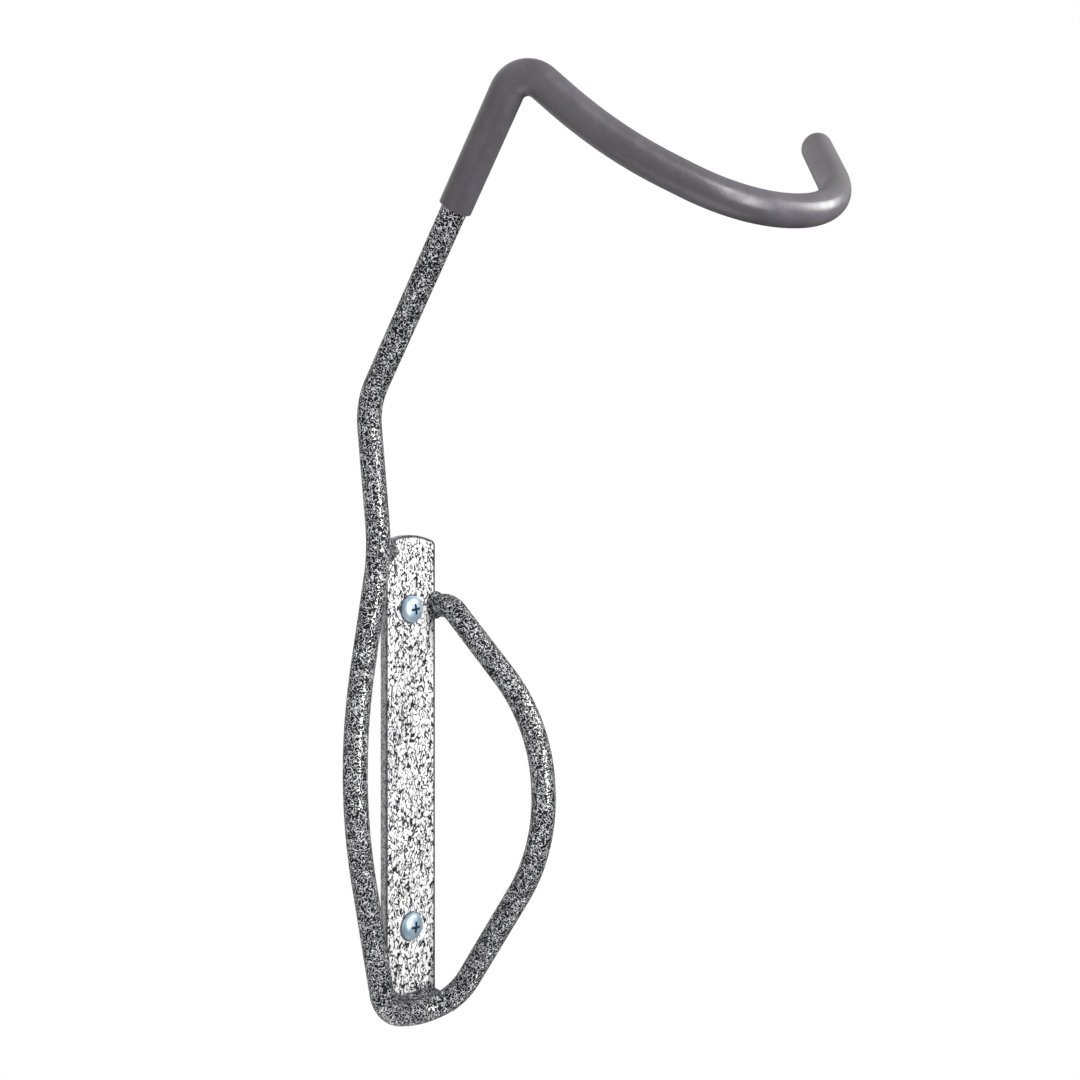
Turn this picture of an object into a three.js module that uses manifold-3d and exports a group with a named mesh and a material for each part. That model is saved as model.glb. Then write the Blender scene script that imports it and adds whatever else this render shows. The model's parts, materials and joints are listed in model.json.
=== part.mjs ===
// Bicycle wall rack: a flat steel back plate that two screws hold to the wall, with one
// bent round bar welded to it. The bar starts on the plate beside the upper screw, bows
// out from the wall as a rest for the tyre, crosses the plate's lower end, runs up past
// the plate's left side, and leans out from the wall as the arm of the hook. A soft
// sleeve with a closed, rounded tip covers the hook.
// Millimetres. X is to the right seen from the front, Y goes into the wall, Z is up.
// The origin is the middle of the plate's back face.
import * as THREE from "three";
import { mergeVertices } from "three/addons/utils/BufferGeometryUtils.js";
import Module from "manifold-3d";

const wasm = await Module();
wasm.setup();

// --- driving sizes ---------------------------------------------------------------
const plateWidth = 32;
const plateThickness = 4;
const plateLength = 228.6;
const plateCrownRadius = 40;
const plateCornerRadius = 3;

const screwSpacing = 152.4;
const screwMiddleZ = 2.5;
const screwHoleRadius = 3.5;
const screwHeadRadius = 6.5;
const screwHeadHeight = 3.7;
const screwRimHeight = 0.7;
const screwShankRadius = 2.75;
const screwPointLength = 7;
const screwReach = 30;
const recessRadius = 2.7;
const recessSlot = 1.1;
const recessDepth = 2.4;

const barRadius = 5.75;
const barSides = 20;
const sleeveRadius = 7.4;
const sleeveBoreRadius = 6.0;
const sleeveBelowBend = 65.5;
const sleeveSides = 24;

const touchGap = 0.3;
const weldGap = 0.15;
const footWeldRadius = 5.5;

// --- the bar's bends: where its straight lines would meet, and each bend's radius ----
const barStart = new THREE.Vector3(15.7, -plateThickness - touchGap, 80.1);
const barEnd = new THREE.Vector3(133.7, -147.2, 301.2);
const bends = [
  { name: "stub", at: [15.7, -15.2, 80.1], radius: 9.5 },
  { name: "bow upper", at: [26.7, -63.8, 26.5], radius: 81 },
  { name: "bow lower", at: [25.9, -67.8, -31.0], radius: 82.5 },
  { name: "under right", at: [16.4, -20.8, -106.0], radius: 28 },
  { name: "under middle", at: [5.4, -10.1, -115.1], radius: 22 },
  { name: "under left", at: [-21.7, -10.1, -108.6], radius: 16.5 },
  { name: "left side", at: [-42.5, -7.9, 4.4], radius: 253 },
  { name: "plate corner", at: [-21.2, -5.75, 106.4], radius: 83 },
  { name: "kink", at: [-28.5, -5.75, 174.9], radius: 32.5 },
  { name: "arm top", at: [-31.7, -104.9, 307.0], radius: 10 },
  { name: "hook inner", at: [-2.7, -129.2, 276.2], radius: 200 },
  { name: "hook middle", at: [43.5, -167.4, 249.4], radius: 77 },
  { name: "hook turn", at: [101.5, -180.7, 259.6], radius: 51.5 },
];
const armTopIndex = bends.findIndex((b) => b.name === "arm top");

// --- a bar's centre line: straights joined by circular bends -----------------------
// The stations sit only where the bar bends, so a straight costs one step.
class BentLine extends THREE.Curve {
  constructor(start, corners, end) {
    super();
    this.stations = [];
    let from = start.clone();
    const first = new THREE.Vector3(...corners[0].at).sub(start).normalize();
    this.stations.push({ point: start.clone(), along: first });
    corners.forEach((corner, i) => {
      const apex = new THREE.Vector3(...corner.at);
      const next = i + 1 < corners.length ? new THREE.Vector3(...corners[i + 1].at) : end;
      const before = apex.clone().sub(from).normalize();
      const after = next.clone().sub(apex).normalize();
      const turn = before.angleTo(after);
      const reach = corner.radius * Math.tan(turn / 2);
      const bendStart = apex.clone().addScaledVector(before, -reach);
      const inward = after.clone().sub(before).normalize();
      const centre = apex.clone().addScaledVector(inward, corner.radius / Math.cos(turn / 2));
      const spoke = bendStart.clone().sub(centre);
      const axis = before.clone().cross(after).normalize();
      const finest = 2 * Math.acos(1 - 0.06 / corner.radius);
      const steps = Math.max(2, Math.ceil(turn / Math.min(finest, Math.PI / 12)));
      for (let k = 0; k <= steps; k++) {
        const angle = (turn * k) / steps;
        const point = spoke.clone().applyAxisAngle(axis, angle).add(centre);
        const along = before.clone().applyAxisAngle(axis, angle);
        this.stations.push({ point, along });
      }
      from = apex;
    });
    const last = end.clone().sub(from).normalize();
    this.stations.push({ point: end.clone(), along: last });
  }
  get steps() {
    return this.stations.length - 1;
  }
  station(u) {
    return this.stations[Math.round(u * this.steps)];
  }
  getPoint(t, target = new THREE.Vector3()) {
    return target.copy(this.station(t).point);
  }
  getPointAt(u, target = new THREE.Vector3()) {
    return target.copy(this.station(u).point);
  }
  getTangent(t, target = new THREE.Vector3()) {
    return target.copy(this.station(t).along);
  }
  getTangentAt(u, target = new THREE.Vector3()) {
    return target.copy(this.station(u).along);
  }
}

// --- solids and booleans -----------------------------------------------------------
function solid(geometry) {
  const bare = geometry.clone();
  bare.deleteAttribute("normal");
  bare.deleteAttribute("uv");
  const merged = mergeVertices(bare, 1e-4);
  return new wasm.Manifold(
    new wasm.Mesh({
      numProp: 3,
      vertProperties: new Float32Array(merged.attributes.position.array),
      triVerts: new Uint32Array(merged.index.array),
    }),
  );
}

function geometryOf(manifold) {
  const mesh = manifold.getMesh();
  const geometry = new THREE.BufferGeometry();
  const points = new Float32Array(mesh.vertProperties);
  geometry.setAttribute("position", new THREE.BufferAttribute(points, 3));
  geometry.setIndex(new THREE.BufferAttribute(new Uint32Array(mesh.triVerts), 1));
  geometry.computeVertexNormals();
  return geometry;
}

function roundBar(line, radius, sides) {
  const section = new THREE.Shape();
  for (let i = 0; i < sides; i++) {
    const angle = (2 * Math.PI * i) / sides;
    const x = radius * Math.cos(angle);
    const y = radius * Math.sin(angle);
    if (i === 0) section.moveTo(x, y);
    else section.lineTo(x, y);
  }
  section.closePath();
  return new THREE.ExtrudeGeometry(section, { steps: line.steps, extrudePath: line });
}

// A lathe turned about a line through `at` that runs along `axis`.
function turned(profile, segments, at, axis) {
  const points = profile.map(([r, h]) => new THREE.Vector2(r, h));
  const geometry = new THREE.LatheGeometry(points, segments);
  const up = new THREE.Vector3(0, 1, 0);
  geometry.applyQuaternion(new THREE.Quaternion().setFromUnitVectors(up, axis));
  geometry.translate(at.x, at.y, at.z);
  return geometry;
}

function block(lowX, highX, lowY, highY, lowZ, highZ) {
  const box = new THREE.BoxGeometry(highX - lowX, highY - lowY, highZ - lowZ);
  box.translate((lowX + highX) / 2, (lowY + highY) / 2, (lowZ + highZ) / 2);
  return box;
}

// --- the back plate ------------------------------------------------------------------
const outward = new THREE.Vector3(0, -1, 0);
const half = plateWidth / 2;
const plateTop = plateLength / 2;
const plateBottom = -plateLength / 2;
const screwHeights = {
  upper: screwMiddleZ + screwSpacing / 2,
  lower: screwMiddleZ - screwSpacing / 2,
};

function plateOutline(grow) {
  const crownZ = plateTop - plateCrownRadius;
  const cornerX = half - plateCornerRadius;
  const cornerGap = plateCrownRadius - plateCornerRadius;
  const cornerRise = Math.sqrt(cornerGap ** 2 - cornerX ** 2);
  const cornerZ = crownZ + cornerRise;
  const meet = Math.atan2(cornerRise, cornerX);
  const corner = plateCornerRadius + grow;
  const outline = new THREE.Shape();
  outline.moveTo(-half - grow, plateBottom - grow);
  outline.lineTo(half + grow, plateBottom - grow);
  outline.absarc(cornerX, cornerZ, corner, 0, meet, false);
  outline.absarc(0, crownZ, plateCrownRadius + grow, meet, Math.PI - meet, false);
  outline.absarc(-cornerX, cornerZ, corner, Math.PI - meet, Math.PI, false);
  outline.closePath();
  return outline;
}

function plateGeometry() {
  const outline = plateOutline(0);
  for (const z of Object.values(screwHeights)) {
    const hole = new THREE.Path();
    hole.absarc(0, z, screwHoleRadius, 0, 2 * Math.PI, true);
    outline.holes.push(hole);
  }
  const options = { depth: plateThickness, bevelEnabled: false, curveSegments: 12 };
  return new THREE.ExtrudeGeometry(outline, options).rotateX(Math.PI / 2);
}

// The plate with a little clearance all round, to cut weld beads back from it.
function plateCutter() {
  const options = { depth: plateThickness + 2 * weldGap, bevelEnabled: false };
  const cutter = new THREE.ExtrudeGeometry(plateOutline(weldGap), options);
  return solid(cutter.rotateX(Math.PI / 2).translate(0, weldGap, 0));
}

// --- the bar and its sleeve ------------------------------------------------------------
// The bar's first few millimetres are drawn in to a neck where it is welded on.
const fullBarStart = new THREE.Vector3(barStart.x, -8.9, barStart.z);
const barLine = new BentLine(fullBarStart, bends, barEnd);

function barSolid(grow, sides) {
  const neck = [
    [0, -barStart.y - grow],
    [5.2, -barStart.y - grow],
    [4.75, 5.3],
    [4.6, 6.4],
    [4.8, 7.4],
    [5.3, 8.4],
    [barRadius - 0.05, 9.3],
    [0, 9.3],
  ].map(([r, h]) => [r === 0 ? 0 : r + grow, h]);
  const foot = new THREE.Vector3(barStart.x, 0, barStart.z);
  const start = solid(turned(neck, sides, foot, outward));
  return start.add(solid(roundBar(barLine, barRadius + grow, sides)));
}

const barCutter = () => barSolid(weldGap, 32);

const armTop = new THREE.Vector3(...bends[armTopIndex].at);
const kink = new THREE.Vector3(...bends[armTopIndex - 1].at);
const downArm = kink.clone().sub(armTop).normalize();
const sleeveStart = armTop.clone().addScaledVector(downArm, sleeveBelowBend);
const hookTurn = new THREE.Vector3(...bends[bends.length - 1].at);
const tipDirection = barEnd.clone().sub(hookTurn).normalize();

function sleeveGeometry() {
  const hookBends = bends.slice(armTopIndex);
  const outerLine = new BentLine(sleeveStart, hookBends, barEnd);
  const boreStart = sleeveStart.clone().addScaledVector(downArm, 3);
  const boreEnd = barEnd.clone().addScaledVector(tipDirection, touchGap);
  const boreLine = new BentLine(boreStart, hookBends, boreEnd);
  const dome = [[0, -2], [sleeveRadius - 0.02, -2]];
  for (let i = 0; i < 8; i++) {
    const angle = (Math.PI / 2) * (i / 8);
    dome.push([(sleeveRadius - 0.02) * Math.cos(angle), sleeveRadius * Math.sin(angle)]);
  }
  dome.push([0, sleeveRadius]);
  const skin = solid(roundBar(outerLine, sleeveRadius, sleeveSides));
  const tip = solid(turned(dome, sleeveSides, barEnd, tipDirection));
  const bore = solid(roundBar(boreLine, sleeveBoreRadius, barSides));
  return geometryOf(skin.add(tip).subtract(bore));
}

// --- weld beads ------------------------------------------------------------------------
const plateFront = -plateThickness - weldGap;

// A low collar round the bar's start, wrapping over the plate's right edge.
function stubWeldGeometry() {
  const profile = [
    [0, 1.4],
    [5.4, 1.4],
    [6.4, 2.4],
    [6.7, 4.2],
    [6.5, 5.2],
    [5.9, 6.2],
    [5.2, 6.9],
    [0, 6.9],
  ];
  const bead = turned(profile, 28, new THREE.Vector3(0, 0, 0), outward);
  bead.scale(0.82, 1, 1);
  bead.translate(barStart.x, 0, barStart.z);
  return geometryOf(solid(bead).subtract(barCutter()).subtract(plateCutter()));
}

// A short bead on the plate's face beside the bar, at the plate's upper left corner.
function cornerWeldGeometry() {
  const bead = new THREE.SphereGeometry(1, 24, 16);
  bead.scale(5.6, 2.3, 6);
  bead.translate(-15.9, -4.7, 106.9);
  const front = solid(block(-30, 0, -20, plateFront, 90, 120));
  return geometryOf(solid(bead).intersect(front).subtract(barCutter()));
}

// The fillet along the plate's lower end, from the plate's face onto the bar. It runs
// rises from the bar at the plate's right edge, runs level, then climbs beside the bar.
function footWeldGeometry() {
  const right = new THREE.Vector3(19.5, -5.2, -117);
  const turns = [
    { name: "rise", at: [10.8, -5.3, -111.3], radius: 8 },
    { name: "climb", at: [-9.6, -5.4, -110.9], radius: 14 },
  ];
  const left = new THREE.Vector3(-22.5, -8.5, -100.5);
  const bead = solid(roundBar(new BentLine(right, turns, left), footWeldRadius, 28));
  const front = solid(block(-22, half - 0.1, -20, plateFront, plateBottom + 0.1, -90));
  const behindBar = barSolid(0, 26).translate([0.2, 1.3, -1.8]);
  return geometryOf(bead.intersect(front).subtract(barCutter()).subtract(behindBar));
}

// --- the screws --------------------------------------------------------------------------
function screwGeometry(z) {
  const under = plateThickness + weldGap;
  const crown = under + screwHeadHeight;
  const profile = [
    [0, -screwReach],
    [screwShankRadius * 0.6, -screwReach + screwPointLength * 0.55],
    [screwShankRadius, -screwReach + screwPointLength],
    [screwShankRadius, under],
    [screwHeadRadius - 0.3, under],
    [screwHeadRadius, under + 0.3],
    [screwHeadRadius, under + screwRimHeight],
  ];
  for (let i = 1; i < 7; i++) {
    const angle = (Math.PI / 2) * (i / 7);
    const rise = screwHeadHeight - screwRimHeight;
    profile.push([screwHeadRadius * Math.cos(angle), under + screwRimHeight + rise * Math.sin(angle)]);
  }
  profile.push([0, crown]);
  const at = new THREE.Vector3(0, 0, z);
  const body = solid(turned(profile, 32, at, outward));
  const cone = [
    [0, crown - recessDepth],
    [0.9, crown - recessDepth],
    [recessRadius, crown - 0.2],
    [recessRadius, crown + 1],
    [0, crown + 1],
  ];
  const slotHalf = recessSlot / 2;
  const upright = solid(block(-slotHalf, slotHalf, -crown - 2, 0, z - 5, z + 5));
  const level = solid(block(-5, 5, -crown - 2, 0, z - slotHalf, z + slotHalf));
  const driver = solid(turned(cone, 24, at, outward)).intersect(upright.add(level));
  return geometryOf(body.subtract(driver));
}

// --- the assembly -----------------------------------------------------------------------
const darkHammered = { color: 0x3a3a3d, metalness: 0.7, roughness: 0.4 };
const paleHammered = { color: 0xb9b9b6, metalness: 0.7, roughness: 0.35 };
const greySleeve = { color: 0x5c585f, metalness: 0, roughness: 0.45 };
const zincScrew = { color: 0xa9b9c6, metalness: 0.9, roughness: 0.3 };

const rack = new THREE.Group();
rack.name = "bicycle_wall_rack";

function add(name, geometry, look) {
  const mesh = new THREE.Mesh(geometry, new THREE.MeshStandardMaterial(look));
  mesh.name = name;
  rack.add(mesh);
}

add("back_plate", plateGeometry(), paleHammered);
add("bent_bar", geometryOf(barSolid(0, barSides)), darkHammered);
add("hook_sleeve", sleeveGeometry(), greySleeve);
add("weld_bar_start", stubWeldGeometry(), darkHammered);
add("weld_plate_corner", cornerWeldGeometry(), darkHammered);
add("weld_plate_foot", footWeldGeometry(), darkHammered);
add("screw_upper", screwGeometry(screwHeights.upper), zincScrew);
add("screw_lower", screwGeometry(screwHeights.lower), zincScrew);

export default rack;
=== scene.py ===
# %% [markdown]
# # A bicycle wall rack, built around its solid model
#
# The rack is a flat steel plate that two screws hold to the wall, and one bent round bar
# welded to it. The bar bows out from the wall as a rest for the tyre, passes under the
# plate, runs up the other side and ends in a hook with a soft grey sleeve.
# The solid model gives every size and place. This lesson makes the parts again as smooth,
# detailed meshes in the same frame: metres, X right, Y into the wall, Z up.

import json
import math

import bmesh
import bpy
from mathutils import Matrix, Quaternion, Vector

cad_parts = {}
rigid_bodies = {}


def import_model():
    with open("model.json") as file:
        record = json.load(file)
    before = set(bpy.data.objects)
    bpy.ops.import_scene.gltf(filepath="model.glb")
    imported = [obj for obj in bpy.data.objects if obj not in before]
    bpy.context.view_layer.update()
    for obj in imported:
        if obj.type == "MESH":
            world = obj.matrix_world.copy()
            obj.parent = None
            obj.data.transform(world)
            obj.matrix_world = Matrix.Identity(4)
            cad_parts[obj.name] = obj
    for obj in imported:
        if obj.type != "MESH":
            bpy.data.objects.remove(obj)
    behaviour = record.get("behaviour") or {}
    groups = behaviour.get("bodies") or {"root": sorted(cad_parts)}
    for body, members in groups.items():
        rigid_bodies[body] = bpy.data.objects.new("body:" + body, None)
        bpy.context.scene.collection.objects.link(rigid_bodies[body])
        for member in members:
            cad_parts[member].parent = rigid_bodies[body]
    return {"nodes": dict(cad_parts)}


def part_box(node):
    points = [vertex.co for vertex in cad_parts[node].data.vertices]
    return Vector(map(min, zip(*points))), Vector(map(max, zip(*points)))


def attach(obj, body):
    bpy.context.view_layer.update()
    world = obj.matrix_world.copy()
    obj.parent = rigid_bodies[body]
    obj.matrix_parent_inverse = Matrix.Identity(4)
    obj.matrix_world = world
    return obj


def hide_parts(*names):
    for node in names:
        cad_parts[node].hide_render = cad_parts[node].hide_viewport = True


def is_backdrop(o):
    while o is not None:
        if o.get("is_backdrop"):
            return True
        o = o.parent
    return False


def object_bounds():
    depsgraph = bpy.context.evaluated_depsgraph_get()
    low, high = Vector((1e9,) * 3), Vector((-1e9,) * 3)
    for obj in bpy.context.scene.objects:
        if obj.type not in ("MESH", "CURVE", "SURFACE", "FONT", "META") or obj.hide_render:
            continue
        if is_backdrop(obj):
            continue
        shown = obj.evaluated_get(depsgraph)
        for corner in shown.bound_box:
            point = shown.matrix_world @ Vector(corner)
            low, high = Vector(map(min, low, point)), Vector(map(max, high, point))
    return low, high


for leftover in list(bpy.data.objects):
    bpy.data.objects.remove(leftover)
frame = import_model()
cad_low, cad_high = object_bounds()
MM = 0.001
print("solid model's box, mm:", [round(v / MM, 1) for v in (*cad_low, *cad_high)])
for name in sorted(frame["nodes"]):
    low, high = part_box(name)
    print(f"  {name}: {[round((b - a) / MM, 1) for a, b in zip(low, high)]}")

# %% [markdown]
# ## The sizes that everything follows
#
# A few sizes settle the rest: the strip that the plate is cut from, the crown at its top, the
# two screws' places and heads, and the bar's thickness. They are in millimetres, as on a
# maker's drawing, and MM turns them into Blender's metres.

# %% Driving sizes
plate_width, plate_thick, plate_length = 32.0, 4.0, 228.6
crown_radius, corner_radius = 40.0, 3.0
hole_radius, edge_break = 3.5, 0.55
screw_spacing, screws_middle = 152.4, 2.5
screw_heights = {
    "upper": screws_middle + screw_spacing / 2,
    "lower": screws_middle - screw_spacing / 2,
}
head_radius, head_height, head_rim = 6.5, 3.7, 0.7
# a hair under the solid model's 5.75 and 7.4, whose flat facets lie inside a true circle
bar_radius, sleeve_radius = 5.70 * MM, 7.35 * MM
print("plate, mm:", plate_width, plate_thick, plate_length, "screws at", screw_heights)

# %% [markdown]
# ## Two helpers
#
# Every piece below ends the same way: its modifiers are worked into a plain mesh, and an
# object that holds the mesh is linked into the scene. Each is two lines, written once.


# %% New objects and finished meshes
def new_object(name, data):
    """An object for the data, linked into the scene."""
    made = bpy.data.objects.new(name, data)
    bpy.context.scene.collection.objects.link(made)
    return made


def finished_mesh(source):
    """The object's mesh, with its modifiers worked in."""
    graph = bpy.context.evaluated_depsgraph_get()
    return bpy.data.meshes.new_from_object(source.evaluated_get(graph))


print("solids to build around:", len(frame["nodes"]))

# %% [markdown]
# ## The camera
#
# The camera stands level with the top of the plate and to the left of it, about 0.6 m away,
# so the hook reaches towards us. A level camera keeps upright lines upright.

# %% Camera
camera_data = bpy.data.cameras.new("camera")
camera_data.lens = 42.04
camera_data.sensor_width = 36
camera_data.clip_start = 0.01
camera = new_object("camera", camera_data)
camera.location = (-0.409, -0.456, 0.1119)
camera.rotation_euler = (math.radians(90), 0, math.radians(-47.98))
bpy.context.scene.camera = camera
print("camera lens", camera_data.lens, "at", tuple(round(v, 3) for v in camera.location))

# %% [markdown]
# ## Helpers for materials
#
# Materials here are node trees, and sums written as sums are easier to read than boxes and
# wires. One small class stands for a socket and turns +, - and * into Math nodes; another
# makes the nodes of one material, so that each paint below is a few lines of plain steps.


# %% A socket as a value
class Value:
    """One shader socket, so that shader maths reads as plain expressions."""

    def __init__(self, shader, socket):
        self.shader, self.socket = shader, socket

    def _math(self, operation, *inputs):
        return self.shader.node("ShaderNodeMath", {"operation": operation}, inputs)

    def __add__(self, other):
        return self._math("ADD", self, other)

    def __sub__(self, other):
        return self._math("SUBTRACT", self, other)

    def __rsub__(self, other):
        return self._math("SUBTRACT", other, self)

    def __mul__(self, other):
        return self._math("MULTIPLY", self, other)

    __radd__ = __add__
    __rmul__ = __mul__

    def absolute(self):
        return self._math("ABSOLUTE", self)

    def larger(self, other):
        return self._math("MAXIMUM", self, other)

    def root(self):
        return self._math("SQRT", self)

    def fade(self, start, end, low=0.0, high=1.0):
        """Goes smoothly from low to high while the value goes from start to end."""
        settings = {"interpolation_type": "SMOOTHSTEP"}
        inputs = {"Value": self, "From Min": start, "From Max": end, "To Min": low, "To Max": high}
        return self.shader.node("ShaderNodeMapRange", settings, inputs)


print("values can be added, subtracted, multiplied and faded")


# %% The nodes of one material
class Shader:
    """Builds one material, or the world, out of nodes."""

    def __init__(self, name, tree=None):
        if tree is None:
            self.material = bpy.data.materials.new(name)
            self.material.use_nodes = True
            tree = self.material.node_tree
        self.tree = tree
        self.tree.nodes.clear()

    def node(self, kind, settings=None, inputs=(), output=0):
        """Any node: its type, its settings, then values or links for its sockets."""
        made = self.tree.nodes.new(kind)
        for key, value in (settings or {}).items():
            setattr(made, key, value)
        pairs = inputs.items() if isinstance(inputs, dict) else enumerate(inputs)
        for key, value in pairs:
            if isinstance(value, Value):
                self.tree.links.new(value.socket, made.inputs[key])
            else:
                made.inputs[key].default_value = value
        return Value(self, made.outputs[output])

    def blend(self, factor, first, second):
        """A colour that goes from the first to the second with the factor."""
        first, second = (c if isinstance(c, Value) else (*c, 1) for c in (first, second))
        # a Mix node has a set of sockets for each kind of value: 6, 7 and 2 are the colours'
        inputs = {0: factor, 6: first, 7: second}
        return self.node("ShaderNodeMix", {"data_type": "RGBA"}, inputs, output=2)

    def axes(self, where):
        """The three numbers of a place or a direction."""
        split = self.node("ShaderNodeSeparateXYZ", {}, [where])
        return [Value(self, socket) for socket in split.socket.node.outputs]

    def place(self, scale=(1, 1, 1), turn=(0, 0, 0)):
        """The piece's own coordinates in metres, stretched and turned."""
        where = self.node("ShaderNodeTexCoord", output="Object")
        return self.node("ShaderNodeMapping", {}, {"Vector": where, "Scale": scale, "Rotation": turn})

    def noise(self, where, scale, detail, roughness=0.5, distortion=0.0, output=0):
        inputs = {"Vector": where, "Scale": scale, "Detail": detail, "Roughness": roughness}
        inputs["Distortion"] = distortion
        return self.node("ShaderNodeTexNoise", {}, inputs, output)

    def warp(self, where, scale, amount):
        """The same coordinates, pushed about by a noise of that scale, by that many metres."""
        push = self.noise(where, scale, 1.0, output=1)
        kind = "ShaderNodeVectorMath"
        centred = self.node(kind, {"operation": "SUBTRACT"}, [push, (0.5, 0.5, 0.5)])
        scaled = self.node(kind, {"operation": "SCALE"}, {"Vector": centred, "Scale": amount})
        return self.node(kind, {"operation": "ADD"}, [where, scaled])

    def grey(self, level):
        """A grey of that level, a touch blue as bare steel is."""
        return self.node("ShaderNodeCombineColor", {}, [level, level, level * 1.03])

    def bump(self, height, distance, strength, below=None):
        """Small relief, laid over the relief below it where there is one."""
        inputs = {"Height": height, "Distance": distance, "Strength": strength}
        if below is not None:
            inputs["Normal"] = below
        return self.node("ShaderNodeBump", {}, inputs)

    def finish(self, **inputs):
        """Ends the material in one Principled shader."""
        named = {key.replace("_", " "): value for key, value in inputs.items()}
        surface = self.node("ShaderNodeBsdfPrincipled", {}, named)
        self.end_in("ShaderNodeOutputMaterial", surface)
        return self.material

    def end_in(self, kind, surface):
        """Joins the finished surface to the tree's output."""
        out = self.tree.nodes.new(kind)
        self.tree.links.new(surface.socket, out.inputs["Surface"])


print("shader helpers ready")

# %% [markdown]
# ## Floor and light
#
# The light is a plain white studio: a surround that is bright on the left and overhead and
# dim in front, a tall narrow panel straight in front of the plate, whose mirror image runs
# down the bar as a streak, and a small panel near the hook. The floor is a small pale disc
# well below the rack, so little light comes up from it and the undersides stay dark.

# %% Floor
floor_depth, floor_radius = 0.7, 0.5
bpy.ops.mesh.primitive_circle_add(vertices=96, radius=floor_radius, fill_type="NGON", location=(0, 0, 0))
floor = bpy.context.object
floor.name = "floor"
floor.data.transform(Matrix.Translation((0, 0, cad_low.z - floor_depth)))
floor_paint = Shader("floor_paint")
pale, white = (0.6, 0.6, 0.6, 1), (1, 1, 1, 1)
floor.data.materials.append(
    floor_paint.finish(Base_Color=pale, Roughness=0.9, Emission_Color=white, Emission_Strength=1.0)
)
floor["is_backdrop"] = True
print("floor is", floor_depth, "m below the rack")

# %% Surround
world = bpy.data.worlds.new("studio")
bpy.context.scene.world = world
world.use_nodes = True
surround = Shader("surround", world.node_tree)
direction = surround.node("ShaderNodeTexCoord", output="Generated")
across, along, rise = surround.axes(direction)
# bright on the left of the rack and overhead, dim on the camera's side and on the right
side = across * -0.669 + along * 0.743
glow = side.fade(-0.1, 0.45, 0.08, 0.72) + rise.fade(0.0, 0.8, 0.0, 0.4)
dim = surround.node("ShaderNodeBackground", {}, {"Color": white, "Strength": glow})
# the camera itself sees plain white all round
bright = surround.node("ShaderNodeBackground", {}, {"Color": white, "Strength": 1.0})
seen = surround.node("ShaderNodeLightPath", output="Is Camera Ray")
both = surround.node("ShaderNodeMixShader", {}, [seen, dim, bright])
surround.end_in("ShaderNodeOutputWorld", both)
bpy.context.scene.view_settings.view_transform = "Standard"
print("surround nodes:", len(world.node_tree.nodes))


# %% Light panels
def panel(name, place, target, width, height, power):
    """A flat white panel that faces its target."""
    data = bpy.data.lights.new(name, "AREA")
    data.shape = "RECTANGLE"
    data.size, data.size_y = width, height
    data.energy = power
    light = new_object(name, data)
    light.location = place
    aim = Vector(target) - Vector(place)
    light.rotation_euler = aim.to_track_quat("-Z", "Y").to_euler()


panel("front panel", (-0.02, -1.25, 0.25), (0, 0, 0.05), width=0.28, height=1.2, power=18)
panel("hook panel", (0.42, -0.52, 0.42), (0.1, -0.16, 0.27), width=0.25, height=0.25, power=2.8)

# %% [markdown]
# ## The bar's path
#
# One bar makes the whole frame. A bender's drawing of it is a list of corners, where the
# straight lines would meet, each with the radius of the former it was bent round.
# The same list makes the smooth path here: straight, arc, straight, arc.

# %% Corners and bends
# each bend's corner and the radius of its former, in mm
bends = [
    ("stub", (15.7, -15.2, 80.1), 9.5),
    ("bow upper", (26.7, -63.8, 26.5), 81),
    ("bow lower", (25.9, -67.8, -31.0), 82.5),
    ("under right", (16.4, -20.8, -106.0), 28),
    ("under middle", (5.4, -10.1, -115.1), 22),
    ("under left", (-21.7, -10.1, -108.6), 16.5),
    ("left side", (-42.5, -7.9, 4.4), 253),
    ("plate corner", (-21.2, -5.75, 106.4), 83),
    ("kink", (-28.5, -5.75, 174.9), 32.5),
    ("arm top", (-31.7, -104.9, 307.0), 10),
    ("hook inner", (-2.7, -129.2, 276.2), 200),
    ("hook middle", (43.5, -167.4, 249.4), 77),
    ("hook turn", (101.5, -180.7, 259.6), 51.5),
]
bar_start = Vector((15.7, -4.3, 80.1)) * MM
bar_end = Vector((133.7, -147.2, 301.2)) * MM


def bent_path(start, corners, end, step):
    """Points along straights joined by circular bends, about one step apart."""
    points = [start.copy()]
    came_from = start
    for index, (_, at, radius) in enumerate(corners):
        corner = Vector(at) * MM
        after = Vector(corners[index + 1][1]) * MM if index + 1 < len(corners) else end
        into = (corner - came_from).normalized()
        out = (after - corner).normalized()
        turn = into.angle(out)
        reach = radius * MM * math.tan(turn / 2)
        first = corner - into * reach
        centre = corner + (out - into).normalized() * (radius * MM / math.cos(turn / 2))
        axis = into.cross(out).normalized()
        run = (first - points[-1]).length
        straight = max(1, round(run / step))
        base = points[-1].copy()
        points += [base.lerp(first, k / straight) for k in range(1, straight + 1)]
        pieces = max(3, math.ceil(turn / math.radians(3)), round(turn * radius * MM / step))
        for k in range(1, pieces + 1):
            spoke = Quaternion(axis, turn * k / pieces) @ (first - centre)
            points.append(centre + spoke)
        came_from = corner
    base = points[-1].copy()
    last = max(1, round((end - base).length / step))
    points += [base.lerp(end, k / last) for k in range(1, last + 1)]
    return points


bar_points = bent_path(bar_start, bends, bar_end, 2.5 * MM)
bar_length = sum((b - a).length for a, b in zip(bar_points, bar_points[1:]))
print(f"the bar is {bar_length / MM:.0f} mm long, {len(bar_points)} points")

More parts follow.
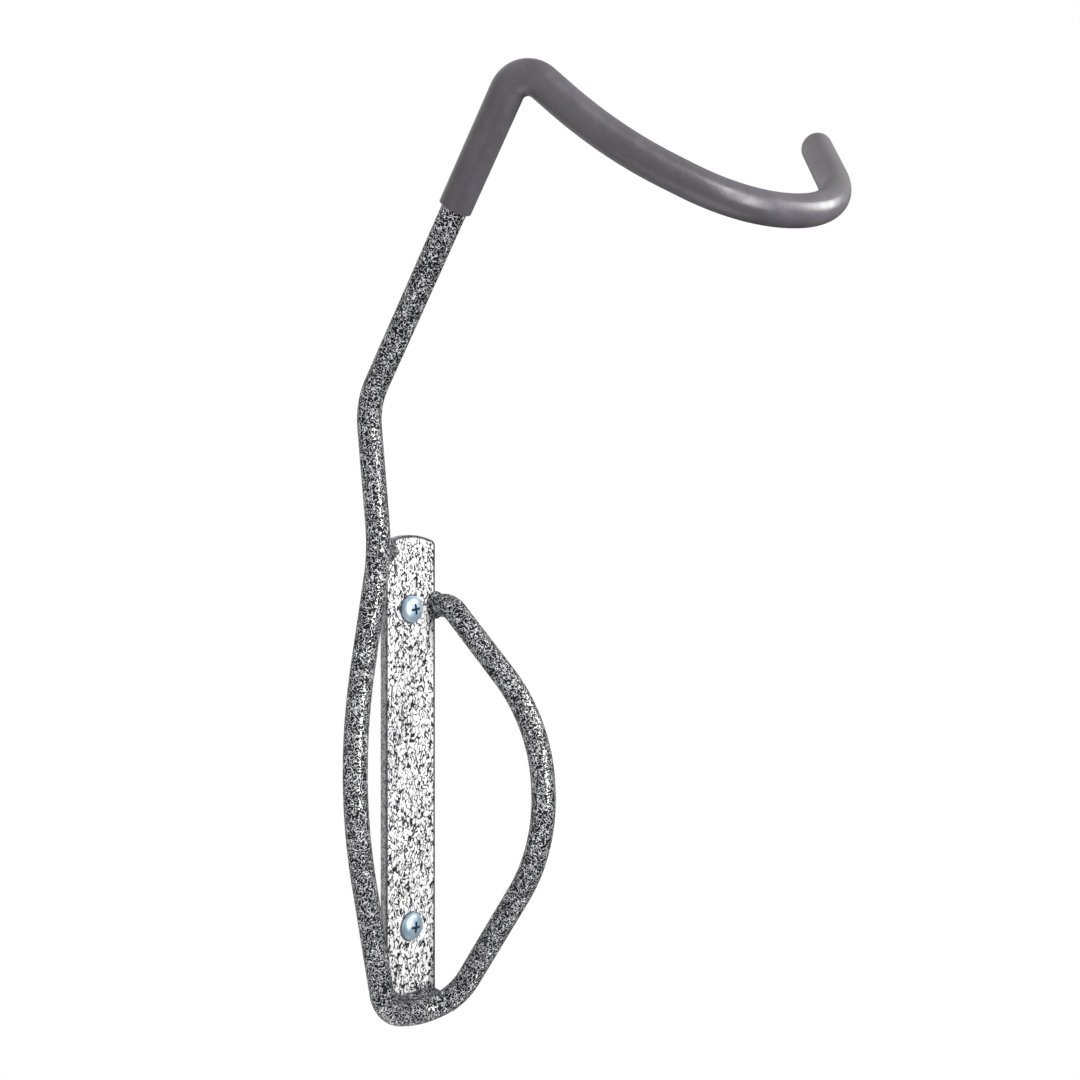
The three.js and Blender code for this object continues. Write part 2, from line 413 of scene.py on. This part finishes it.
# %% [markdown]
# ## Sweeping a round section along a path
#
# A bar that follows a path is the plain case for Geometry Nodes: the path is a curve, a
# circle is the section, and Curve to Mesh sweeps one along the other. The curve's radius
# scales the section, so the same tree also draws the bar in at its welded end.
# The tree has named inputs for the section's radius and its number of sides.


# %% The sweep tree
def sweep_tree(material):
    """A tree that sweeps a circle along the curve it is given and paints the result."""
    tree = bpy.data.node_groups.new("sweep a round section", "GeometryNodeTree")
    tree.interface.new_socket("Geometry", in_out="INPUT", socket_type="NodeSocketGeometry")
    tree.interface.new_socket("Section radius", in_out="INPUT", socket_type="NodeSocketFloat")
    tree.interface.new_socket("Sides", in_out="INPUT", socket_type="NodeSocketInt")
    tree.interface.new_socket("Geometry", in_out="OUTPUT", socket_type="NodeSocketGeometry")
    start = tree.nodes.new("NodeGroupInput")
    circle = tree.nodes.new("GeometryNodeCurvePrimitiveCircle")
    sweep = tree.nodes.new("GeometryNodeCurveToMesh")
    sweep.inputs["Fill Caps"].default_value = True
    smooth = tree.nodes.new("GeometryNodeSetShadeSmooth")
    realize = tree.nodes.new("GeometryNodeRealizeInstances")
    paint = tree.nodes.new("GeometryNodeSetMaterial")
    paint.inputs["Material"].default_value = material
    end = tree.nodes.new("NodeGroupOutput")
    link = tree.links.new
    radius = tree.nodes.new("GeometryNodeInputRadius")
    link(start.outputs["Section radius"], circle.inputs["Radius"])
    link(start.outputs["Sides"], circle.inputs["Resolution"])
    link(start.outputs["Geometry"], sweep.inputs["Curve"])
    link(circle.outputs["Curve"], sweep.inputs["Profile Curve"])
    link(radius.outputs[0], sweep.inputs["Scale"])
    link(sweep.outputs["Mesh"], smooth.inputs["Geometry"])
    link(smooth.outputs["Geometry"], realize.inputs["Geometry"])
    link(realize.outputs["Geometry"], paint.inputs["Geometry"])
    link(paint.outputs["Geometry"], end.inputs["Geometry"])
    return tree


print("sweep tree ready")


# %% Run a tree, draw a path
def run_nodes(source, tree, settings, name):
    """Runs a tree on an object and keeps the result as a plain mesh object."""
    modifier = source.modifiers.new("nodes", "NODES")
    modifier.node_group = tree
    for item in tree.interface.items_tree:
        if item.in_out == "INPUT" and item.name in settings:
            modifier[item.identifier] = settings[item.name]
    piece = new_object(name, finished_mesh(source))
    bpy.data.objects.remove(source)
    return piece


def path_object(points, scales):
    """A poly curve through the points, with a radius at each."""
    data = bpy.data.curves.new("path", "CURVE")
    data.dimensions = "3D"
    spline = data.splines.new("POLY")
    spline.points.add(len(points) - 1)
    for target, point, scale in zip(spline.points, points, scales):
        target.co = (*point, 1)
        target.radius = scale
    return new_object("path", data)


print("path helpers ready")


# %% Clean and measure a piece
def weld_doubles(piece, distance=1e-6):
    """Joins doubled points and turns every face outwards."""
    shape = bmesh.new()
    shape.from_mesh(piece.data)
    bmesh.ops.remove_doubles(shape, verts=shape.verts, dist=distance)
    bmesh.ops.recalc_face_normals(shape, faces=shape.faces)
    shape.to_mesh(piece.data)
    shape.free()


def measured(piece):
    """Prints a piece's size and whether it is closed."""
    shape = bmesh.new()
    shape.from_mesh(piece.data)
    open_edges = sum(1 for e in shape.edges if not e.is_manifold)
    volume = shape.calc_volume(signed=True) / MM**3
    shape.free()
    size = [round(v / MM, 1) for v in piece.dimensions]
    faces = len(piece.data.polygons)
    print(f"{piece.name}: {size} mm, {faces} faces, {open_edges} open, {volume:.0f} mm3")


print("measuring helpers ready")


# %% [markdown]
# ## Hammered paint
#
# The steel wears a hammered enamel: while it dries, silver flake gathers into small cells
# with dark veins between them, and the film stays glossy and slightly dimpled.
# Noise folded at its middle value gives such veins: the fold is a thin winding line.
# On the bar the same enamel is painted as a shaded copy: mostly dark, with pale worm-shaped
# flecks, the dark being painted shade for the dim surroundings that the round bar mirrors.
# On the weld beads the flecks are finer, and their grey is painted shade as well.


# %% Dark hammered paint
def winding(paint, where, scale):
    """How far a noise is from its middle: nearly nothing along thin winding lines."""
    return (paint.noise(where, scale, 1.0, 0.5, 0.3) - 0.5).absolute()


def hammered_dark(name, seed=0.0, fine=1.0, pale=0.98):
    """A shaded copy of the enamel, painted near black with pale flecks; fine makes them smaller, pale
    sets their grey.
    """
    paint = Shader(name)
    # a noise's scale is in waves per metre, so 700 puts the flecks 1 to 2 mm apart
    where = paint.warp(paint.place(turn=(seed, seed * 0.7, 0.3)), 1200 * fine, 0.0005)
    wide = paint.noise(where, 160, 2.0, 0.5)
    line = winding(paint, where, 700 * fine) + (wide - 0.5) * 0.05
    fleck = line.fade(0.023, 0.036, 1.0, 0.0)
    tone = wide.fade(0.3, 0.7, 0.85, 1.02) * pale
    # painted shade: the near-black cells stand for the dim surroundings that the bar mirrors
    colour = paint.blend(fleck, (0.006, 0.006, 0.010), paint.grey(tone))
    relief = paint.bump(fleck, 0.0001, 0.5)
    return paint.finish(
        Base_Color=colour,
        Metallic=fleck * 0.4,
        Roughness=fleck.fade(0, 1, 0.5, 0.22),
        Specular_IOR_Level=0.2,
        Normal=relief,
    )


bar_paint = hammered_dark("bar_paint")
weld_paint = hammered_dark("weld_paint", 1.3, 1.3, 0.75)
print("dark paints:", bar_paint.name, weld_paint.name)

# %% [markdown]
# ## The plate's pale paint
#
# On the plate, which mirrors the light panel, the cells look white and the veins thin, so
# here the same enamel is painted near white, a painted reflection of the panel. Painted shade
# draws a dark line just inside the plate's edges and round each screw head, where shade falls,
# so this paint also works out how far a point is from the plate's outline.


# %% Pale hammered paint
def plate_edge(across, height):
    """How far a point is past the plate's outline, in metres: less than 0 inside it."""
    past_side = across.absolute() - plate_width / 2 * MM
    up = height - (plate_length / 2 - crown_radius) * MM
    past_arc = (across * across + up * up).root() - crown_radius * MM
    # the crown's arc only counts near the top, and fades out over 10 mm below its centre
    past_crown = past_arc * up.fade(0, 10 * MM) - up.fade(0, 10 * MM, 10 * MM, 0)
    return past_side.larger(past_crown)


def hammered_pale(name):
    """Silver enamel painted near white as a painted reflection, with dark broken veins, a painted shade
    line at its edges and painted shade round the screws.
    """
    paint = Shader(name)
    where = paint.warp(paint.place(scale=(1.0, 1.0, 0.62)), 900, 0.0008)
    breaks = paint.noise(where, 420, 1.0, 0.5)
    vein = winding(paint, where, 620).fade(0.046, 0.074, 1.0, 0.0) * breaks.fade(0.30, 0.38)
    across, depth, height = paint.axes(paint.place())
    edge = plate_edge(across, height)
    flank = edge.fade(-0.12 * MM, -0.03 * MM)
    # painted shade: a dark line 1.1 to 1.6 mm inside the plate's outline
    painted_shade = edge.fade(-1.6 * MM, -1.1 * MM) * (1 - flank)
    front = depth.fade((0.2 - plate_thick) * MM, (0.5 - plate_thick) * MM, 1.0, 0.0)
    # painted shade: a dark ring round each screw head on the plate's front, where the head shades it
    for screw_height in screw_heights.values():
        off = height - screw_height * MM
        from_screw = (across * across + off * off).root()
        ring = from_screw.fade((head_radius + 0.2) * MM, (head_radius + 0.9) * MM, 1.0, 0.0)
        painted_shade = painted_shade.larger(ring * front)
    wide = paint.noise(paint.place(), 45, 2.0, 0.5)
    # painted reflection: the silver is near white, for the light panel that the flat plate mirrors
    silver = paint.blend(wide.fade(0.35, 0.65), (0.76, 0.75, 0.75), (0.85, 0.84, 0.84))
    # painted shade: the side faces are a darker grey than the front, a shaded copy of the silver
    ground = paint.blend(flank, silver, (0.52, 0.51, 0.52))
    dark = (vein * flank.fade(0, 1, 1.0, 0.6)).larger(painted_shade * 0.9)
    return paint.finish(
        Base_Color=paint.blend(dark, ground, (0.015, 0.015, 0.02)),
        Metallic=0.1,
        Roughness=0.45,
        Specular_IOR_Level=0.2,
        Normal=paint.bump(1 - dark, 0.00015, 0.6),
    )


plate_paint = hammered_pale("plate_paint")
print("pale paint:", plate_paint.name, len(plate_paint.node_tree.nodes), "nodes")

# %% [markdown]
# ## The bent bar
#
# The bar is swept along its path with 48 sides, so its outline is round from anywhere.
# Its first few millimetres are drawn in to a neck where it is welded to the plate.

# %% Sweep the bar
# how far along the bar, in mm, and the share of its full thickness there
neck = [(0.0, 0.905), (1.0, 0.83), (2.1, 0.80), (3.1, 0.835), (4.1, 0.92), (5.0, 0.985)]
toward = (Vector(bends[0][1]) * MM - bar_start).normalized()
neck_points = [bar_start + toward * (d * MM) for d, _ in neck]
neck_length = 5.4 * MM
rest = [p for p in bar_points if (p - bar_start).length > neck_length]
points = neck_points + rest
scales = [s for _, s in neck] + [1.0] * len(rest)
section = {"Section radius": bar_radius, "Sides": 48}
bent_bar = run_nodes(path_object(points, scales), sweep_tree(bar_paint), section, "bent_bar_round")
weld_doubles(bent_bar)
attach(bent_bar, "root")
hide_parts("bent_bar")
measured(bent_bar)

# %% [markdown]
# ## The back plate
#
# The plate is cut from flat strip, with a shallow crown at its top end and two round holes,
# and its edges are just broken. A filled curve with a bevel gives exactly that: the outline
# and the holes are loops in one flat curve, extruded to the plate's thickness.


# %% Outline with holes
def arc(x, z, radius, first, last, steps):
    """Points round an arc about x, z, with both its ends."""
    turns = [first + (last - first) * k / steps for k in range(steps + 1)]
    return [(x + radius * math.cos(a), z + radius * math.sin(a)) for a in turns]


def plate_outline():
    """A strip whose crown runs into two small round corners, all tangent."""
    half, top = plate_width / 2, plate_length / 2
    crown, side = top - crown_radius, half - corner_radius
    lift = math.sqrt((crown_radius - corner_radius) ** 2 - side**2)
    meet = math.atan2(lift, side)
    right = arc(side, crown + lift, corner_radius, 0, meet, 8)
    over = arc(0, crown, crown_radius, meet, math.pi - meet, 32)
    left = arc(-side, crown + lift, corner_radius, math.pi - meet, math.pi, 8)
    return [(-half, -top), (half, -top)] + right + over[1:-1] + left


holes = [arc(0, z, hole_radius, 0, 2 * math.pi, 48)[:-1] for z in screw_heights.values()]
print("outline points:", len(plate_outline()), "holes:", len(holes))


# %% Cut the plate
def cut_plate(loops, thick, bevel, name):
    """The loops filled as one flat curve, made thick and stood up with its back at y = 0."""
    data = bpy.data.curves.new(name, "CURVE")
    data.dimensions = "2D"
    data.fill_mode = "BOTH"
    data.extrude = (thick / 2 - bevel) * MM
    data.bevel_depth = bevel * MM
    data.bevel_resolution = 3
    data.offset = -bevel * MM
    for loop in loops:
        spline = data.splines.new("POLY")
        spline.points.add(len(loop) - 1)
        spline.use_cyclic_u = True
        for target, (x, z) in zip(spline.points, loop):
            target.co = (x * MM, z * MM, 0, 1)
    flat = new_object(name, data)
    mesh = finished_mesh(flat)
    mesh.transform(Matrix.Rotation(math.pi / 2, 4, "X"))
    mesh.transform(Matrix.Translation((0, -thick / 2 * MM, 0)))
    bpy.data.objects.remove(flat)
    return new_object(name, mesh)


loops = [plate_outline()] + holes
back_plate = cut_plate(loops, plate_thick, edge_break, "back_plate_broken_edges")
weld_doubles(back_plate, 2e-6)
back_plate.data.materials.clear()
back_plate.data.materials.append(plate_paint)
back_plate.data.shade_smooth()
back_plate.data.set_sharp_from_angle(angle=math.radians(50))
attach(back_plate, "root")
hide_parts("back_plate")
measured(back_plate)

# %% [markdown]
# ## The soft sleeve
#
# The sleeve is a thick vinyl skin that keeps the rim from being scratched. Vinyl is satin and
# never quite even: its colour clouds a little, its skin has the dimples of orange peel, and
# it is scuffed along its length. Three noises of different scales give those.

# %% Sleeve vinyl
vinyl = Shader("sleeve_vinyl")
spot = vinyl.place()
cloud = vinyl.noise(spot, 40, 3.0, 0.55)
haze = vinyl.noise(spot, 160, 3.0, 0.6)
grain = vinyl.noise(spot, 2600, 2.0, 0.5)
scuff = vinyl.noise(vinyl.place(scale=(1, 1, 0.35)), 420, 2.0, 0.6).fade(0.6, 0.74)
skin = vinyl.blend(cloud.fade(0.35, 0.65), (0.084, 0.077, 0.089), (0.104, 0.095, 0.109))
# painted light: paler towards the tip, which lies furthest right, where light from the right falls on it
reach = vinyl.axes(spot)[0].fade(0.07, 0.13)
skin = vinyl.blend(reach * 0.7, skin, (0.132, 0.122, 0.130))
skin = vinyl.blend(scuff * 0.25, skin, (0.15, 0.145, 0.155))
orange_peel = vinyl.bump(haze, 0.0006, 0.25)
fine_grain = vinyl.bump(grain, 0.00005, 0.15, orange_peel)
sleeve_vinyl = vinyl.finish(
    Base_Color=skin,
    Roughness=haze.fade(0.35, 0.65, 0.28, 0.38),
    Specular_IOR_Level=0.5,
    Normal=fine_grain,
)
print("sleeve material:", sleeve_vinyl.name)

# %% [markdown]
# ## The sleeve's shape
#
# The sleeve is closed at the tip in a half ball and cut square at its lower end. It is made
# ring by ring in mesh code, because it needs an inside as well: the rings go from the closed
# end along the bore's wall, round the lip and back along the outside to the tip.


# %% Skin over rings
def frames_along(points):
    """A centre, direction and two cross directions at each point, without twist."""
    directions = []
    for k in range(len(points)):
        ahead = points[min(k + 1, len(points) - 1)] - points[max(k - 1, 0)]
        directions.append(ahead.normalized())
    side = directions[0].orthogonal().normalized()
    frames = []
    for point, along in zip(points, directions):
        side = (side - along * side.dot(along)).normalized()
        frames.append((point, along, side, along.cross(side)))
    return frames


def ring_mesh(name, rings, sides, ends):
    """Rings of (centre, cross, cross, radius) skinned in order and closed at two points."""
    shape = bmesh.new()
    loops = []
    for centre, u, v, radius in rings:
        turns = [2 * math.pi * k / sides for k in range(sides)]
        spokes = [(u * math.cos(a) + v * math.sin(a)) * radius for a in turns]
        loops.append([shape.verts.new(centre + spoke) for spoke in spokes])
    for first, second in zip(loops, loops[1:]):
        for k in range(sides):
            n = (k + 1) % sides
            shape.faces.new((first[k], first[n], second[n], second[k]))
    for loop, tip in ((loops[0], ends[0]), (loops[-1], ends[1])):
        pole = shape.verts.new(tip)
        for k in range(sides):
            shape.faces.new((loop[k], loop[(k + 1) % sides], pole))
    bmesh.ops.recalc_face_normals(shape, faces=shape.faces)
    mesh = bpy.data.meshes.new(name)
    shape.to_mesh(mesh)
    shape.free()
    return new_object(name, mesh)


print("ring skinning ready")

# %% Build the sleeve
bore_radius = 6.0 * MM
lip_round = 0.45 * MM
down_the_arm = 65.5 * MM
sleeve_sides, dome_steps, lip_steps = 56, 16, 4
top = [name for name, _, _ in bends].index("arm top")
arm_top = Vector(bends[top][1]) * MM
down_arm = (Vector(bends[top - 1][1]) * MM - arm_top).normalized()
sleeve_foot = arm_top + down_arm * down_the_arm
sleeve_path = bent_path(sleeve_foot, bends[top:], bar_end, 2.0 * MM)
outer = frames_along(sleeve_path)
foot, foot_along, u0, v0 = outer[0]
end_point, tip_along, u1, v1 = outer[-1]

bore_end = bar_end + tip_along * (0.3 * MM)
bore = [(bore_end, u1, v1, bore_radius)]
bore += [(p, u, v, bore_radius) for p, _, u, v in reversed(outer[1:])]

lip = []
lip_turns = [math.pi / 2 * k / lip_steps for k in range(lip_steps + 1)]
for a in lip_turns:
    centre = foot + foot_along * lip_round * (1 - math.sin(a))
    lip.append((centre, u0, v0, bore_radius + lip_round * (1 - math.cos(a))))
for a in lip_turns[1:]:
    centre = foot + foot_along * lip_round * (1 - math.cos(a))
    lip.append((centre, u0, v0, sleeve_radius - lip_round * (1 - math.sin(a))))

body = [(p, u, v, sleeve_radius) for p, _, u, v in outer[1:]]
dome = []
for k in range(1, dome_steps):
    a = math.pi / 2 * k / dome_steps
    centre = end_point + tip_along * sleeve_radius * math.sin(a)
    dome.append((centre, u1, v1, sleeve_radius * math.cos(a)))
poles = (bore_end, end_point + tip_along * sleeve_radius)
sleeve = ring_mesh("hook_sleeve_skin", bore + lip + body + dome, sleeve_sides, poles)
sleeve.data.materials.append(sleeve_vinyl)
sleeve.data.shade_smooth()
sleeve.data.set_sharp_from_angle(angle=math.radians(60))
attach(sleeve, "root")
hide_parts("hook_sleeve")
measured(sleeve)

# %% [markdown]
# ## The weld beads
#
# A weld bead is laid as a row of small overlapping puddles, so its skin has ripples and its
# edges melt into both pieces. The solid model already has each bead's place and bulk.
# A copy of each is remeshed finely, smoothed, swelled a little so that it bites into the
# plate and the bar, and rippled across its length.


# %% Make the beads
def bead_from(node, name, row, pitch, swell, ripple):
    """A finer copy of a bead, with ripples that follow one another along its row."""
    piece = new_object(name, frame["nodes"][node].data.copy())
    weld_doubles(piece, 1e-7)
    remesh = piece.modifiers.new("remesh", "REMESH")
    remesh.mode = "VOXEL"
    remesh.voxel_size = 0.28 * MM
    soften = piece.modifiers.new("soften", "SMOOTH")
    soften.factor = 0.5
    soften.iterations = 3
    final = finished_mesh(piece)
    piece.modifiers.clear()
    piece.data = final
    axis = Vector(row).normalized()
    normals = [v.normal.copy() for v in final.vertices]
    for v, normal in zip(final.vertices, normals):
        wave = math.sin(2 * math.pi * v.co.dot(axis) / (pitch * MM))
        v.co += normal * (swell + ripple * wave) * MM
    final.materials.clear()
    final.materials.append(weld_paint)
    final.shade_smooth()
    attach(piece, "root")
    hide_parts(node)
    measured(piece)


# the direction of the row of puddles, then their pitch, the swelling and the ripple in mm
bead_from("weld_plate_foot", "weld_plate_foot_bead", (1, 0.1, 0.25), 2.6, 0.32, 0.07)
bead_from("weld_plate_corner", "weld_plate_corner_bead", (0.1, 0.1, 1), 2.2, 0.3, 0.05)
bead_from("weld_bar_start", "weld_bar_start_bead", (0.2, 0.3, 1), 2.4, 0.25, 0.06)

# %% [markdown]
# ## The screws
#
# Two pan-headed wood screws hold the rack: a domed head with a cross recess, a plain neck
# and a thread that runs to a point. They are plated with pale blue zinc, brushed a little by
# handling. The walls of the recess get a darker material of their own: painted shade, for the
# shade that falls inside the recess.

# %% Zinc
zinc = Shader("zinc_plate")
spot = zinc.place()
tint = zinc.noise(spot, 180, 3.0, 0.55)
colour = zinc.blend(tint.fade(0.35, 0.65), (0.34, 0.46, 0.57), (0.50, 0.61, 0.70))
scratch = zinc.noise(zinc.place(scale=(1, 0.1, 1)), 3200, 2.0, 0.6)
relief = zinc.bump(scratch, 0.00002, 0.3)
zinc_plate = zinc.finish(
    Base_Color=colour,
    Metallic=0.5,
    Roughness=tint.fade(0.3, 0.7, 0.34, 0.42),
    Normal=relief,
)
# painted shade: the recess walls are a dark grey-blue, for the shade inside the recess
shade = Shader("recess_shade")
patch = shade.noise(shade.place(), 1500, 2.0, 0.5)
recess_shade = shade.finish(
    Base_Color=shade.blend(patch, (0.03, 0.06, 0.09), (0.08, 0.13, 0.17)),
    Metallic=0.3,
    Roughness=0.6,
    Specular_IOR_Level=0.2,
)
print("screw materials:", zinc_plate.name, recess_shade.name)

# %% [markdown]
# ## The thread
#
# A thread is a ridge that climbs one pitch for each turn round the shank. Drawn face by face
# it would be a tangle, but it follows a short rule, which suits Geometry Nodes: a point's
# angle and its place along the axis say how near the crest it is, and it moves outwards by
# that much.


# %% Thread tree
def thread_tree():
    """A tree that raises a thread on a shank along Y, between Start and Finish."""
    tree = bpy.data.node_groups.new("raise a thread", "GeometryNodeTree")
    face = tree.interface
    face.new_socket("Geometry", in_out="INPUT", socket_type="NodeSocketGeometry")
    for name in ("Pitch", "Depth", "Start", "Finish", "Axis height"):
        face.new_socket(name, in_out="INPUT", socket_type="NodeSocketFloat")
    face.new_socket("Geometry", in_out="OUTPUT", socket_type="NodeSocketGeometry")
    start = tree.nodes.new("NodeGroupInput")
    end = tree.nodes.new("NodeGroupOutput")
    link = tree.links.new

    def maths(operation, *values):
        made = tree.nodes.new("ShaderNodeMath")
        made.operation = operation
        for socket, value in zip(made.inputs, values):
            if isinstance(value, (int, float)):
                socket.default_value = value
            else:
                link(value, socket)
        return made.outputs[0]

    place = tree.nodes.new("GeometryNodeInputPosition")
    split = tree.nodes.new("ShaderNodeSeparateXYZ")
    link(place.outputs[0], split.inputs[0])
    x, y = split.outputs[0], split.outputs[1]
    z = maths("SUBTRACT", split.outputs[2], start.outputs["Axis height"])
    turns = maths("DIVIDE", maths("ARCTAN2", z, x), 2 * math.pi)
    climb = maths("DIVIDE", y, start.outputs["Pitch"])
    # where the point lies between one turn of the thread and the next, from 0 to 1; whole
    # turns are added first, so that the number is never below 0
    whole_turns = 50.0
    phase = maths("FRACT", maths("ADD", maths("SUBTRACT", climb, turns), whole_turns))
    off_crest = maths("ABSOLUTE", maths("SUBTRACT", phase, 0.5))
    ridge = maths("SUBTRACT", 1.0, maths("MULTIPLY", off_crest, 2.0))
    sharpness = 2.2
    crest = maths("POWER", ridge, sharpness)
    after = maths("GREATER_THAN", y, start.outputs["Start"])
    before = maths("LESS_THAN", y, start.outputs["Finish"])
    height = maths("MULTIPLY", crest, start.outputs["Depth"])
    raised = maths("MULTIPLY", height, maths("MULTIPLY", after, before))
    squares = maths("ADD", maths("MULTIPLY", x, x), maths("MULTIPLY", z, z))
    radius = maths("MAXIMUM", maths("SQRT", squares), 1e-6)
    outward = tree.nodes.new("ShaderNodeCombineXYZ")
    link(maths("MULTIPLY", maths("DIVIDE", x, radius), raised), outward.inputs[0])
    link(maths("MULTIPLY", maths("DIVIDE", z, radius), raised), outward.inputs[2])
    move = tree.nodes.new("GeometryNodeSetPosition")
    realize = tree.nodes.new("GeometryNodeRealizeInstances")
    paint = tree.nodes.new("GeometryNodeSetMaterial")
    paint.inputs["Material"].default_value = zinc_plate
    link(start.outputs["Geometry"], move.inputs["Geometry"])
    link(outward.outputs[0], move.inputs["Offset"])
    link(move.outputs["Geometry"], realize.inputs["Geometry"])
    link(realize.outputs["Geometry"], paint.inputs["Geometry"])
    link(paint.outputs["Geometry"], end.inputs["Geometry"])
    return tree


raise_thread = thread_tree()
sockets = [i.name for i in raise_thread.interface.items_tree if i.in_out == "INPUT"]
print("thread tree inputs:", sockets)

# %% [markdown]
# ## Turning the screws
#
# A screw's body is turned like a lathe part: one list of radii and heights, from the point to
# the crown of the head, skinned over with the sleeve's helper.

# %% Screw sizes and profile
under_head = plate_thick + 0.02
root_radius, crest_radius = 2.0, 2.75
screw_reach, point_length, neck_depth = 30.0, 7.0, 6.0
thread_pitch, thread_start, bare_point = 3.0, 7.0, 1.5
profile_steps, crown_steps, screw_sides = 96, 20, 40


def screw_profile():
    """Radius and height above the wall, from the point to the crown of the head."""
    profile = []
    for k in range(1, profile_steps + 1):
        y = -screw_reach + (screw_reach - neck_depth) * k / profile_steps
        fill = min(1.0, (y + screw_reach) / point_length)
        profile.append((root_radius * fill**0.75, y))
    profile += [(2.35, -4.5), (crest_radius, -3.0), (crest_radius, under_head)]
    profile += [(head_radius - 0.35, under_head), (head_radius - 0.08, under_head + 0.1)]
    profile += [(head_radius, under_head + 0.35), (head_radius, under_head + head_rim)]
    rise = head_height - head_rim
    for k in range(1, crown_steps):
        a = math.pi / 2 * k / crown_steps
        profile.append((head_radius * math.cos(a), under_head + head_rim + rise * math.sin(a)))
    return profile


print("screw profile points:", len(screw_profile()))

# %% [markdown]
# ## The cross recess
#
# The driver's recess is a cross whose arms narrow to a blunt point. A boolean cuts it, since
# the cutter is easy to draw and the dome round it stays true. The two screws were driven home
# at different turns, so each cross stands at its own angle.

# %% The recess's cutter
recess_degrees = {"upper": 8, "lower": -5}


def recess_cutter(crown, z, spin):
    """A cross with tapered arms, narrowing to a blunt point inside the head."""
    shape = bmesh.new()
    wide, thin = 2.7, 0.62
    # height, then shares of the arms' reach and of their thickness
    levels = [(crown + 1.0, 1.28, 1.1), (crown - 0.9, 0.86, 0.95), (crown - 2.4, 0.34, 0.7)]
    loops = []
    for height, reach, width in levels:
        a, b = wide * reach, thin * width
        outline = [(b, b), (b, a), (-b, a), (-b, b), (-a, b), (-a, -b), (-b, -b), (-b, -a)]
        outline += [(b, -a), (b, -b), (a, -b), (a, b)]
        turn = Matrix.Rotation(spin, 2)
        loop = []
        for x, y in outline:
            p = turn @ Vector((x, y))
            loop.append(shape.verts.new((p.x * MM, -height * MM, z * MM + p.y * MM)))
        loops.append(loop)
    count = len(outline)
    for first, second in zip(loops, loops[1:]):
        for k in range(count):
            n = (k + 1) % count
            shape.faces.new((first[k], first[n], second[n], second[k]))
    shape.faces.new(loops[0])
    shape.faces.new(loops[-1])
    bmesh.ops.recalc_face_normals(shape, faces=shape.faces)
    mesh = bpy.data.meshes.new("recess")
    shape.to_mesh(mesh)
    shape.free()
    return new_object("recess", mesh)


print("recess cutter ready")


# %% Turn a screw and cut its recess
def turned_screw(name, z, spin):
    """A plain screw at that height, with a cross recess turned by spin."""
    rings = []
    for r, h in screw_profile():
        rings.append((Vector((0, -h * MM, z * MM)), Vector((1, 0, 0)), Vector((0, 0, 1)), r * MM))
    crown = under_head + head_height
    poles = (Vector((0, screw_reach * MM, z * MM)), Vector((0, -crown * MM, z * MM)))
    screw = ring_mesh(name, rings, screw_sides, poles)
    cutter = recess_cutter(crown, z, spin)
    cut = screw.modifiers.new("recess", "BOOLEAN")
    cut.operation = "DIFFERENCE"
    cut.solver = "EXACT"
    cut.object = cutter
    mesh = finished_mesh(screw)
    screw.modifiers.clear()
    screw.data = mesh
    bpy.data.objects.remove(cutter)
    return screw


def shade_recess(screw, z):
    """Gives the walls of the cross recess the darker material, painted shade for the shade inside it."""
    screw.data.materials.append(recess_shade)
    recess_reach, skin = 3.8, 0.1
    rise = head_height - head_rim
    count = 0
    for face in screw.data.polygons:
        off = math.hypot(face.center.x, face.center.z - z * MM) / MM
        height = -face.center.y / MM - under_head - head_rim
        dome = rise * math.sqrt(max(0.0, 1 - (off / head_radius) ** 2))
        if off < recess_reach and 0 < height < dome - skin:
            face.material_index = 1
            count += 1
    print(f"{screw.name}: {count} recess faces")


print("screw helpers ready")

# %% Make both screws
for which, z in screw_heights.items():
    blank = turned_screw("blank", z, math.radians(recess_degrees[which]))
    sizes = {
        "Pitch": thread_pitch * MM,
        "Depth": (crest_radius - root_radius) * MM,
        "Start": thread_start * MM,
        "Finish": (screw_reach - bare_point) * MM,
        "Axis height": z * MM,
    }
    screw = run_nodes(blank, raise_thread, sizes, f"screw_{which}_threaded")
    weld_doubles(screw, 5e-7)
    screw.data.shade_smooth()
    screw.data.set_sharp_from_angle(angle=math.radians(35))
    shade_recess(screw, z)
    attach(screw, "root")
    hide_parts(f"screw_{which}")
    measured(screw)

# %% [markdown]
# ## Check the size
#
# The finished meshes must stay inside the solid model's box, so both boxes are gathered in one table and
# how far the meshes reach past it is printed.

# %% Sizes
low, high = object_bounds()
sizes = {"cad": [list(cad_low), list(cad_high)], "visual": [list(low), list(high)]}
past = (*(cad_low - low), *(high - cad_high))
print("outside the solid model's box, mm:", [round(v / MM, 2) for v in past])
